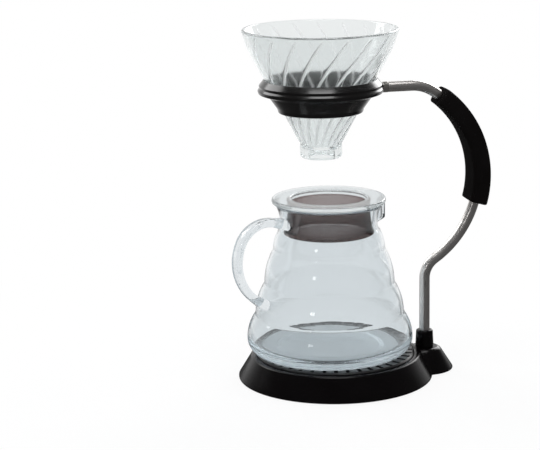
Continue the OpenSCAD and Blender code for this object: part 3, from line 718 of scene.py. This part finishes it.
ring_r, ring_z = ring_outline[:, :1], ring_outline[:, 1:]
ring_x, ring_y = ring_r * np.cos(ring_turn), ring_r * np.sin(ring_turn)
outside = (ring_r > cone_r(ring_z) + SEAT_GAP + LUG_SKIN) & (ring_x > 0)
pull = smoothstep(LUG_R + LUG_EDGE, LUG_R - LUG_EDGE, np.hypot(ring_y, ring_z - arm_z)) * outside
ring_x = ring_x + (lug_reach - ring_x) * pull
ring = surface("ring", np.stack([
    cone_x + ring_x, ring_y, ring_z + 0 * ring_x,
], -1), wrap_rows=True, wrap_cols=True)
dress(ring, holder_abs, "stand", "holder_plastic", "ring_holder")

# %% [markdown]
# ## Ferrule
# A polished ring locks the arm's thread against the lug. It is turned about the arm's level run.

# %% Make the ferrule
THREAD_R = 2.55
ferrule_r = (ferrule_high[2] - ferrule_low[2]) / 2
ring_profile = dense(fillet([
    (THREAD_R, ferrule_low[0], 0.1), (ferrule_r, ferrule_low[0], 0.5), (ferrule_r, ferrule_high[0], 0.5),
    (THREAD_R, ferrule_high[0], 0.1),
], closed=True), 0.6, closed=True)
around = np.linspace(0, 2 * np.pi, 64, endpoint=False)
level_r, level_x = ring_profile[:, :1], ring_profile[:, 1:]
ferrule = surface("ferrule", np.stack([
    level_x + 0 * around, level_r * np.cos(around), arm_z + level_r * np.sin(around),
], -1), wrap_rows=True, wrap_cols=True)
dress(ferrule, ferrule_stainless, "stand", "ferrule_steel", "arm_ferrule")

# %% [markdown]
# ## Glass cone
# The cone was pressed in a mould: smooth outside, with ridges inside that climb and turn, so that water and
# air can run down along the wall. The columns of the grid turn with the ridges, so each ridge is a few
# columns wide from end to end. Half of the columns of a pitch lie on the ridge, where the height is a
# squared cosine. An attribute that grows with the ridges' height makes them rough and partly white: the
# white is a painted highlight.

# %% Outline of the cone
RIB_COUNT = 18
RIB_HALF = 1.8
RIB_HEIGHT = 0.6
RIB_TURN = 50.0
RIB_COLUMNS = 16
CONE_WALL = 3.86
BAND = 15.0
LIP = 1.3
OUTLET_R = 15.9
BORE_R = 10.0
INNER_SHARE = 0.6
RIB_FOOT = (-2, 5)
RIB_HEAD = (-2, -7)
RIB_MOST = 0.42
RIB_SHARE = 0.25
CLIMB_FROM = -0.2

rim_z, rim_r = cone_high[2], (cone_high[0] - cone_low[0]) / 2
band_z = rim_z - BAND
neck_z = brim_z - (SEAT_R - OUTLET_R) / CONE_RATE
bore_z = neck_z - (OUTLET_R - CONE_WALL - BORE_R) / CONE_RATE
cone_outline = dense(fillet([
    (BORE_R, cone_low[2], 1.2), (OUTLET_R, cone_low[2], 2.6), (OUTLET_R, neck_z, 3.0),
    (cone_r(band_z), band_z, 8.0), (rim_r, rim_z, LIP), (rim_r - 2.4 * LIP, rim_z, LIP),
    (cone_r(band_z) - CONE_WALL, band_z, 8.0), (BORE_R, bore_z, 6.0),
], steps=10, closed=True), 1.2, closed=True)
print(f"cone outline: {len(cone_outline)} points")

# %% Make the cone with its ridges
cone_rr, cone_zz = cone_outline[:, :1], cone_outline[:, 1:]
climb = np.maximum((cone_zz - neck_z) / (band_z - neck_z), CLIMB_FROM)
outer_r = np.maximum(cone_r(cone_zz), OUTLET_R)
within = (cone_rr < outer_r - CONE_WALL * INNER_SHARE) & (cone_zz < rim_z - LIP)
rib_start = smoothstep(neck_z + RIB_FOOT[0], neck_z + RIB_FOOT[1], cone_zz)
rib_end = smoothstep(rim_z + RIB_HEAD[0], rim_z + RIB_HEAD[1], cone_zz)
rib_high = RIB_HEIGHT * within * rib_start * rib_end
pitch = 2 * np.pi / RIB_COUNT
unit = np.linspace(-0.5, 0.5, RIB_COLUMNS, endpoint=False)
rib_angle = np.minimum(RIB_HALF / np.maximum(cone_r(cone_zz) - CONE_WALL, BORE_R), RIB_MOST * pitch)
on_rib = np.clip(unit / RIB_SHARE, -1, 1)
off_rib = np.sign(unit) * np.clip(np.abs(unit) - RIB_SHARE, 0, 1) / RIB_SHARE
local = on_rib * rib_angle + off_rib * (pitch / 2 - rib_angle)
ridge = np.tile(rib_high * np.cos(np.pi / 2 * on_rib) ** 2, (1, RIB_COUNT))
cone_turn = np.tile(local, (1, RIB_COUNT)) + np.repeat(np.arange(RIB_COUNT), RIB_COLUMNS) * pitch
cone_turn = cone_turn + np.radians(RIB_TURN) * climb
cone_rr = cone_rr - ridge
cone_grid = turned(cone_x, cone_rr, cone_turn, cone_zz)
cone = surface("cone", cone_grid, wrap_rows=True, wrap_cols=True, crease=180)
# The ridges' height sets how rough they are and how much white paints a highlight on them.
cone_frost_and_painted_light = cone.data.attributes.new("frost_and_painted_light", "FLOAT", "POINT")
cone_frost_and_painted_light.data.foreach_set("value", (ridge / RIB_HEIGHT).ravel().astype(np.float32))
dress(cone, cone_glass, "dripper", "dripper_glass", "dripper_glass")

# %% [markdown]
# ## Server
# The server was blown into a mould with three steps, each an arc that ends upright, over a wide belly with
# a thick foot. The outline is drawn as the steps' arcs and then softened with a moving average, because
# blown glass has no sharp inner corners. The floor is thickest round its heel: it is dished inside and
# domed below, and its underside is made rough and partly white, and the white is painted light that makes
# it look lighter. A hair of air under the foot keeps it apart from the grate's face, because faces in one
# plane flicker. The pouring lip is a swelling of the neck towards the post.

# %% Shape of the server
NECK_R = 37.2
NECK_LOW, NECK_HIGH = 99.1, 102.1
STEP_R = (42.9, 50.0, 57.2, 63.8)
STEP_H = (81.6, 55.1, 31.1, 12.0)
SERVER_WALL = 2.2
SERVER_FLOOR = 6.5
PUNT_R, PUNT, PUNT_EDGE = 42.0, 1.2, 4
DOME, DISH = 1.5, 1.5
HAIR = 0.05
MOUTH_R = 41.5
HANDLE_TURN = 193.0
LIP_TURN = HANDLE_TURN - 180
LIP_REACH = 45.0
LIP_SPREAD, LIP_FLAT = 15.0, 0.7
LIP_START, LIP_FULL = -1.5, 4.5
# Edges of the underside that is rough and partly white with painted light.
UNDERSIDE_OUT, UNDERSIDE_IN, UNDERSIDE_UP = 4, -2, 0.5
SERVER_COLUMNS = 160
SOFT = 3.0

foot = server_low[2]
mouth_z = server_high[2]


def step_arc(a, b, steps=16):
    """Arc from point a down and out to point b, upright at b: its sweep is twice the slope of the chord."""
    sweep_angle = 2 * math.atan2(b[0] - a[0], a[1] - b[1])
    radius = (a[1] - b[1]) / math.sin(sweep_angle)
    turn = sweep_angle * (1 - np.arange(1, steps + 1) / steps)
    return np.stack([b[0] - radius * (1 - np.cos(turn)), b[1] + radius * np.sin(turn)], -1)


def soften(outline, reach_mm, step=0.5):
    """Moving average over reach_mm along the outline, which keeps its two ends and every second point."""
    fine = dense(outline, step)
    along = length_along(fine)
    even = np.stack([np.interp(np.arange(0, along[-1], step), along, side) for side in fine.T], -1)
    count = int(reach_mm / step) // 2
    window = np.hanning(2 * count + 3)[1:-1]
    padded = np.concatenate([
        2 * even[0] - even[count:0:-1], even, 2 * even[-1] - even[-2:-count - 2:-1],
    ])
    smooth = np.stack([np.convolve(side, window / window.sum(), "valid") for side in padded.T], -1)
    return np.concatenate([smooth[:-1:2], smooth[-1:]])


def server_wall(inset):
    """Server's outline from the mouth down to the belly, drawn in by inset."""
    points = [(r - inset, foot + h) for r, h in zip(STEP_R, STEP_H)]
    flare = 2 * math.atan2(MOUTH_R - NECK_R, mouth_z - foot - NECK_HIGH)
    flare_r = (mouth_z - foot - NECK_HIGH) / math.sin(flare)
    top = arc((NECK_R - inset + flare_r, foot + NECK_HIGH), flare_r, 180 - math.degrees(flare), 180, 16)
    neck = [(NECK_R - inset, foot + NECK_LOW)]
    steps = [step_arc(a, b) for a, b in zip([neck[0], *points], points)]
    return np.concatenate([top, neck, *steps])


# %% Outline of the server
belly = STEP_H[-1]
heel_r = STEP_R[-1] - belly
inner_round = belly - SERVER_FLOOR + SERVER_WALL
outer_wall = soften(np.concatenate([
    server_wall(0), arc((heel_r, foot + belly), belly - HAIR, 0, -90)[1:],
]), SOFT)
inner_wall = server_wall(SERVER_WALL)
inner_wall = inner_wall[inner_wall[:, 1] > foot + SERVER_FLOOR + inner_round]
inner_wall = soften(np.concatenate([
    inner_wall,
    arc((STEP_R[-1] - SERVER_WALL - inner_round, foot + SERVER_FLOOR + inner_round), inner_round, 0, -90),
]), SOFT)
mouth_round = arc(
    ((outer_wall[0, 0] + inner_wall[0, 0]) / 2, mouth_z - SERVER_WALL / 2), SERVER_WALL / 2, 0, 180, 12)
outward = np.linspace(0, 1, 24)
punt = np.stack([(PUNT_R - PUNT_EDGE) * outward, foot + PUNT + DOME * (1 - outward ** 2)], -1)
foot_ring = np.concatenate([punt[:-1], fillet([
    (*punt[-1], 0), (PUNT_R, foot + HAIR, 3.0), (heel_r, foot + HAIR, 0),
])])
outer_up = outer_wall[outer_wall[:, 1] < mouth_z - SERVER_WALL / 2][::-1]
inner_down = inner_wall[inner_wall[:, 1] < mouth_z - SERVER_WALL / 2]
dish = np.stack([inner_down[-1, 0] * outward, foot + SERVER_FLOOR - DISH * (1 - outward ** 2)], -1)
server_outline = dense(np.concatenate([
    dense(foot_ring, 2.0)[:-1], outer_up, mouth_round, inner_down, dish[-2::-1],
]), 1.6)
print(f"server outline: {len(server_outline)} points")

# %% Make the server with its lip
server_rr, server_zz = server_outline[:, :1], server_outline[:, 1:]
server_turn = np.linspace(0, 2 * np.pi, SERVER_COLUMNS, endpoint=False)
from_lip = np.degrees(np.angle(np.exp(1j * (server_turn - np.radians(LIP_TURN)))))
lip_shape = smoothstep(LIP_SPREAD, LIP_FLAT * LIP_SPREAD, np.abs(from_lip))
neck_wall = np.interp(server_zz, outer_up[:, 1], outer_up[:, 0])
lip_rise = smoothstep(foot + NECK_LOW + LIP_START, foot + NECK_LOW + LIP_FULL, server_zz)
server_rr = server_rr + np.maximum(LIP_REACH - neck_wall, 0) * lip_shape * lip_rise
server_grid = turned(server_x, server_rr, server_turn, server_zz)
server = surface("server", server_grid, wrap_cols=True, crease=180)
points = np.empty(3 * len(server.data.vertices), np.float32)
server.data.vertices.foreach_get("co", points)
x, y, z = points.reshape(-1, 3).T / MM
# The underside is made rough and partly white: the white is painted light that brightens the floor.
underside = z < foot + SERVER_FLOOR - DISH - UNDERSIDE_UP
underside_frost_and_painted_light = smoothstep(heel_r + UNDERSIDE_OUT, heel_r + UNDERSIDE_IN, np.hypot(x - server_x, y)) * underside
server_frost_and_painted_light = server.data.attributes.new("frost_and_painted_light", "FLOAT", "POINT")
server_frost_and_painted_light.data.foreach_set("value", underside_frost_and_painted_light.astype(np.float32))
dress(server, server_glass, "server", "server_glass", "server_glass")

# %% [markdown]
# ## Handle
# A bar of hot glass was bent and pressed on: it leaves the neck, falls in two bends and joins the belly.
# The two ends spread where they fused with the wall. The centreline is a short line and two arcs that run
# right through the wall, and the section grows towards it. Two glass surfaces that cross would show a false
# dark face, so a Boolean modifier cuts the bar off at the wall, with a turned plug that has the server's
# shape and a hair's width more.

# %% Bend the handle
HANDLE_T, HANDLE_W = 6.0, 11.5
HANDLE_REACH = 76.0
HANDLE_H = 107.4
HANDLE_TOP, HANDLE_LOW = 23.7, 37.0
HANDLE_MEET, HANDLE_FALL, HANDLE_END = 25.0, 14.0, -95
ROOT_FLARE, ROOT_LENGTH = 0.35, 7.0
THROUGH = 6.0
PLUG_LOW = 30.0
ROOT_GAP = 0.05
ROOT_EDGE = 40.0

top_centre = np.array([HANDLE_REACH - HANDLE_TOP, foot + HANDLE_H - HANDLE_TOP])
meet = np.array([math.cos(math.radians(HANDLE_MEET)), math.sin(math.radians(HANDLE_MEET))])
low_centre = top_centre - (HANDLE_LOW - HANDLE_TOP) * meet
upper = arc(top_centre, HANDLE_TOP, 90 + HANDLE_FALL, HANDLE_MEET)
rise = np.array([math.cos(math.radians(HANDLE_FALL)), math.sin(math.radians(HANDLE_FALL))])
root = upper[0] - rise * (upper[0, 0] - NECK_R + THROUGH) / rise[0]
lower = arc(low_centre, HANDLE_LOW, HANDLE_MEET, HANDLE_END)[1:]
handle_path = dense(np.concatenate([[root], upper, lower]), 1.0)
wall_r = np.interp(handle_path[:, 1], outer_wall[::-1, 1], outer_wall[::-1, 0])
handle_path = handle_path[handle_path[:, 0] > wall_r - THROUGH]
half_straight = (HANDLE_W - HANDLE_T) / 2
handle_section = np.concatenate([
    arc((0, half_straight), HANDLE_T / 2, 0, 180, 14), arc((0, -half_straight), HANDLE_T / 2, 180, 360, 14),
])
handle_along = length_along(handle_path)
from_wall = np.maximum(np.minimum(handle_along, handle_along[-1] - handle_along) - THROUGH, 0)
spread = 1 + ROOT_FLARE * np.exp(-(from_wall / ROOT_LENGTH) ** 2)
handle_grid = capped(sweep(handle_path, handle_section * spread[:, None, None]))
way = math.radians(HANDLE_TURN)
handle = surface("handle", np.stack([
    server_x + handle_grid[..., 0] * math.cos(way) - handle_grid[..., 1] * math.sin(way),
    handle_grid[..., 0] * math.sin(way) + handle_grid[..., 1] * math.cos(way),
    handle_grid[..., 2],
], -1), wrap_cols=True)
print(f"handle: {handle_along[-1]:.0f} mm of bar")

# %% Cut the handle off at the wall
plug_wall = soften(server_wall(-ROOT_GAP), SOFT)[::-1]
plug_wall = plug_wall[plug_wall[:, 1] > foot + PLUG_LOW]
plug_ends = plug_wall[[0, -1]] * (0, 1)
plug_outline = np.concatenate([plug_ends[:1], plug_wall, plug_ends[1:]])
plug = lathe("plug", plug_outline, server_x, closed=False)
trim = handle.modifiers.new("trim", "BOOLEAN")
trim.operation, trim.solver, trim.object = "DIFFERENCE", "MANIFOLD", plug
handle.data = bpy.data.meshes.new_from_object(handle.evaluated_get(bpy.context.evaluated_depsgraph_get()))
handle.modifiers.clear()
handle.data.materials.clear()
handle.data.set_sharp_from_angle(angle=math.radians(ROOT_EDGE))
bpy.data.objects.remove(plug)
dress(handle, server_glass, "server", "server_glass", "server_handle")

# %% [markdown]
# ## Lid and seal
# The lid is a pressed dish: a flange that rests on the mouth and a deep well. A smoke-coloured silicone
# sleeve is stretched over the well, and its skirt flares towards the foot, so that it grips the neck. The
# skirt's radius grows with a power of the way down, and its wall thickens at the foot, so it looks darkest
# at its lower corners.

# %% Make the lid
WELL_R = 29.0
WELL_T = 1.2
lid_r = (lid_high[0] - lid_low[0]) / 2
well_outer = WELL_R + WELL_T
lid = lathe("lid", dense(fillet([
    (0, lid_low[2], 0), (well_outer, lid_low[2], 2.4), (well_outer, mouth_z, 0.4), (lid_r, mouth_z, 1.4),
    (lid_r, lid_high[2], 1.5), (WELL_R, lid_high[2], 1.1), (WELL_R, lid_low[2] + WELL_T, 1.6),
    (0, lid_low[2] + WELL_T, 0),
]), 1.2), server_x, closed=False)
dress(lid, lid_glass, "lid", "lid_glass", "lid_glass")

# %% Make the seal
SEAL_T = 1.2
SEAL_FOOT = 2.4
SEAL_BEAD = 0.6
SEAL_CURVE, FOOT_CURVE = 2.0, 4
SEAL_GAP = 0.06
seal_bore = well_outer + SEAL_GAP
seal_r = (seal_high[0] - seal_low[0]) / 2
down = np.linspace(1, 0.12, 20)
skirt_z = seal_high[2] - (seal_high[2] - seal_low[2]) * down
skirt_r = seal_bore + SEAL_T + (seal_r - seal_bore - SEAL_T) * down ** SEAL_CURVE
bead_r, bead_z = seal_bore + SEAL_T + SEAL_BEAD, seal_high[2]
inside_r = np.maximum(skirt_r - SEAL_T - SEAL_FOOT * down ** FOOT_CURVE, seal_bore)
skirt = [(r, z, 0.4 if z == skirt_z[0] else 0.0) for r, z in zip(skirt_r, skirt_z)]
lining = [(r, z, 0.0) for r, z in zip(inside_r[::-1], skirt_z[::-1])]
seal_corners = [
    *skirt, (bead_r - SEAL_BEAD, bead_z - 1.6, 0.2), (bead_r, bead_z - 1.1, 0.3), (bead_r, bead_z - 0.3, 0.3),
    (bead_r - SEAL_BEAD, bead_z, 0.2), (seal_bore, bead_z, 0.2), *lining,
]
seal = lathe("seal", dense(fillet(seal_corners, steps=4, closed=True), 0.8, closed=True), server_x)
dress(seal, smoke_silicone, "lid", "seal_silicone", "lid_seal")

# %% [markdown]
# ## Nodes that stay as they are
# Inside the base and under it, the frame's own solids are already right. They only get their finishes.

# %% Finish the frame's nodes
finishes = {
    "bottom_plate": zinc_plate, "ballast_disc": cast_iron, "non_slip_pad": pad_foam,
    "plate_screws": zinc_screw, "post_screw": zinc_screw, "post_washer": zinc_screw,
    "drip_tray": tray_abs, "drip_grate": grate_abs, "lug_insert": insert_brass,
}
for name, finish in finishes.items():
    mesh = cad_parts[name].data
    mesh.materials.clear()
    mesh.materials.append(finish)
print("finished frame nodes:", sorted(finishes))

# %% [markdown]
# ## Floor, lamps and surroundings
# The object stands on a plain white table in a white studio. Near the object the floor takes light and
# shadow; a little further out it is simply white. One compact softbox to the left of the camera gives the
# small glints on the server's steps, a broad one overhead gives the grey light on upward faces, and two at
# the sides towards the back draw light along the flanks. What mirrors and glass see of the studio is white
# behind the object and darker in front, as it is round a camera.

# %% Floor
FLOOR_R = 6000.0
FADE_FROM, FADE_TO, FADE_LOW = 160.0, 420.0, 0.85
MIRROR_FROM, MIRROR_TO, MIRROR_LOW = 150, 700, 0.09
WHITE = (1.0, 1.0, 1.0, 1.0)
floor_turn = np.linspace(0, 2 * np.pi, 96, endpoint=False)
floor_r = np.array([0.0, 100.0, 300.0, 1000.0, FLOOR_R])[:, None]
floor = surface("floor", turned(0, floor_r, floor_turn, 0), wrap_cols=True)
made, tree, output, place = new_material("white_table")
distance = add(tree, "VectorMath", {0: place.outputs["Object"]}, operation="LENGTH")
far = add(tree, "MapRange", {
    "Value": distance.outputs["Value"], "From Min": FADE_FROM * MM, "From Max": FADE_TO * MM,
    "To Min": FADE_LOW, "To Max": 1.0,
}, interpolation_type="SMOOTHSTEP")
behind = add(tree, "VectorMath", {0: place.outputs["Object"], 1: tuple(-backward)}, operation="DOT_PRODUCT")
mirrored = add(tree, "MapRange", {
    "Value": behind.outputs["Value"], "From Min": MIRROR_FROM * MM, "From Max": MIRROR_TO * MM,
    "To Min": MIRROR_LOW, "To Max": 1.0,
}, interpolation_type="SMOOTHSTEP")
rays = add(tree, "LightPath")
seen = add(tree, "Math", {
    0: rays.outputs["Is Camera Ray"], 1: rays.outputs["Is Transmission Ray"],
}, operation="MAXIMUM")
near_share = add(tree, "Math", {0: far, 1: seen}, operation="MULTIPLY")
white_share = add(tree, "Math", {0: near_share, 1: rays.outputs["Is Glossy Ray"]}, operation="MAXIMUM")
strength = add(tree, "Math", {0: seen, 1: mirrored}, operation="MAXIMUM")
paint = add(tree, "BsdfDiffuse", {"Color": linear("#f2f2f2")})
white = add(tree, "Emission", {"Color": WHITE, "Strength": strength})
table = add(tree, "MixShader", {0: white_share, 1: paint, 2: white})
tree.links.new(table.outputs["Shader"], output.inputs["Surface"])
floor.data.materials.append(made)
print(f"floor: {FLOOR_R:.0f} mm round the object, white from {FADE_TO:.0f} mm on")

# %% Lamps


def softbox(name, azimuth_deg, elevation_deg, away, width, height, power, aim=(0.0, 0.0, 120.0)):
    """Area lamp of width by height mm, away mm from aim in the given direction, turned to face it.

    A lamp that can't be seen through glass still mirrors in it, but leaves no hot spots in its edges.
    """
    a, e = math.radians(azimuth_deg), math.radians(elevation_deg)
    way = Vector((math.sin(a) * math.cos(e), -math.cos(a) * math.cos(e), math.sin(e)))
    lamp = bpy.data.lights.new(name, "AREA")
    lamp.shape = "RECTANGLE"
    lamp.size, lamp.size_y = width * MM, height * MM
    lamp.energy = power
    holder = bpy.data.objects.new(name, lamp)
    holder.location = (Vector(aim) + way * away) * MM
    holder.rotation_euler = way.to_track_quat("Z", "Y").to_euler()
    holder.visible_camera = False
    holder.visible_transmission = False
    bpy.context.scene.collection.objects.link(holder)
    print(f"lamp {name}: {width} by {height} mm, {power} W")


# Azimuth and elevation in degrees, distance, width and height in millimetres, power in watts.
softbox("key", -41, 15, 1300, 140, 140, 0.5)
softbox("overhead", -12, 76, 1500, 800, 800, 10.0)
softbox("left", -135, 36, 1600, 800, 900, 8.0)
softbox("right", 138, 24, 1600, 800, 900, 11.0)

# %% World
STUDIO_FROM, STUDIO_TO, STUDIO_LOW = 0.25, 0.95, 0.12
SKY_STRENGTH = 0.45
world = bpy.data.worlds.new("studio")
bpy.context.scene.world = world
world.use_nodes = True
tree = world.node_tree
tree.nodes.clear()
output = add(tree, "OutputWorld")
rays = add(tree, "LightPath")
place = add(tree, "TexCoord")
facing = add(tree, "VectorMath", {
    0: place.outputs["Generated"], 1: tuple(-backward),
}, operation="DOT_PRODUCT")
studio = add(tree, "MapRange", {
    "Value": facing.outputs["Value"], "From Min": STUDIO_FROM, "From Max": STUDIO_TO,
    "To Min": STUDIO_LOW, "To Max": 1.0,
}, interpolation_type="SMOOTHSTEP")
seen = add(tree, "Math", {
    0: rays.outputs["Is Camera Ray"], 1: rays.outputs["Is Transmission Ray"],
}, operation="MAXIMUM")
lit = add(tree, "Math", {0: studio, 1: seen}, operation="MAXIMUM")
soft_light = add(tree, "Background", {"Color": linear("#f4f6f8"), "Strength": SKY_STRENGTH})
shown_studio = add(tree, "Background", {"Color": WHITE, "Strength": lit})
shown = add(tree, "Math", {0: seen, 1: rays.outputs["Is Glossy Ray"]}, operation="MAXIMUM")
sky = add(tree, "MixShader", {0: shown, 1: soft_light, 2: shown_studio})
tree.links.new(sky.outputs["Shader"], output.inputs["Surface"])
bpy.context.scene.view_settings.view_transform = "Standard"
# A ray may cross a dozen glass walls before it leaves the object.
bpy.context.scene.cycles.max_bounces = 32
bpy.context.scene.cycles.glossy_bounces = 24
bpy.context.scene.cycles.transmission_bounces = 32
print("studio:", len(tree.nodes), "nodes")
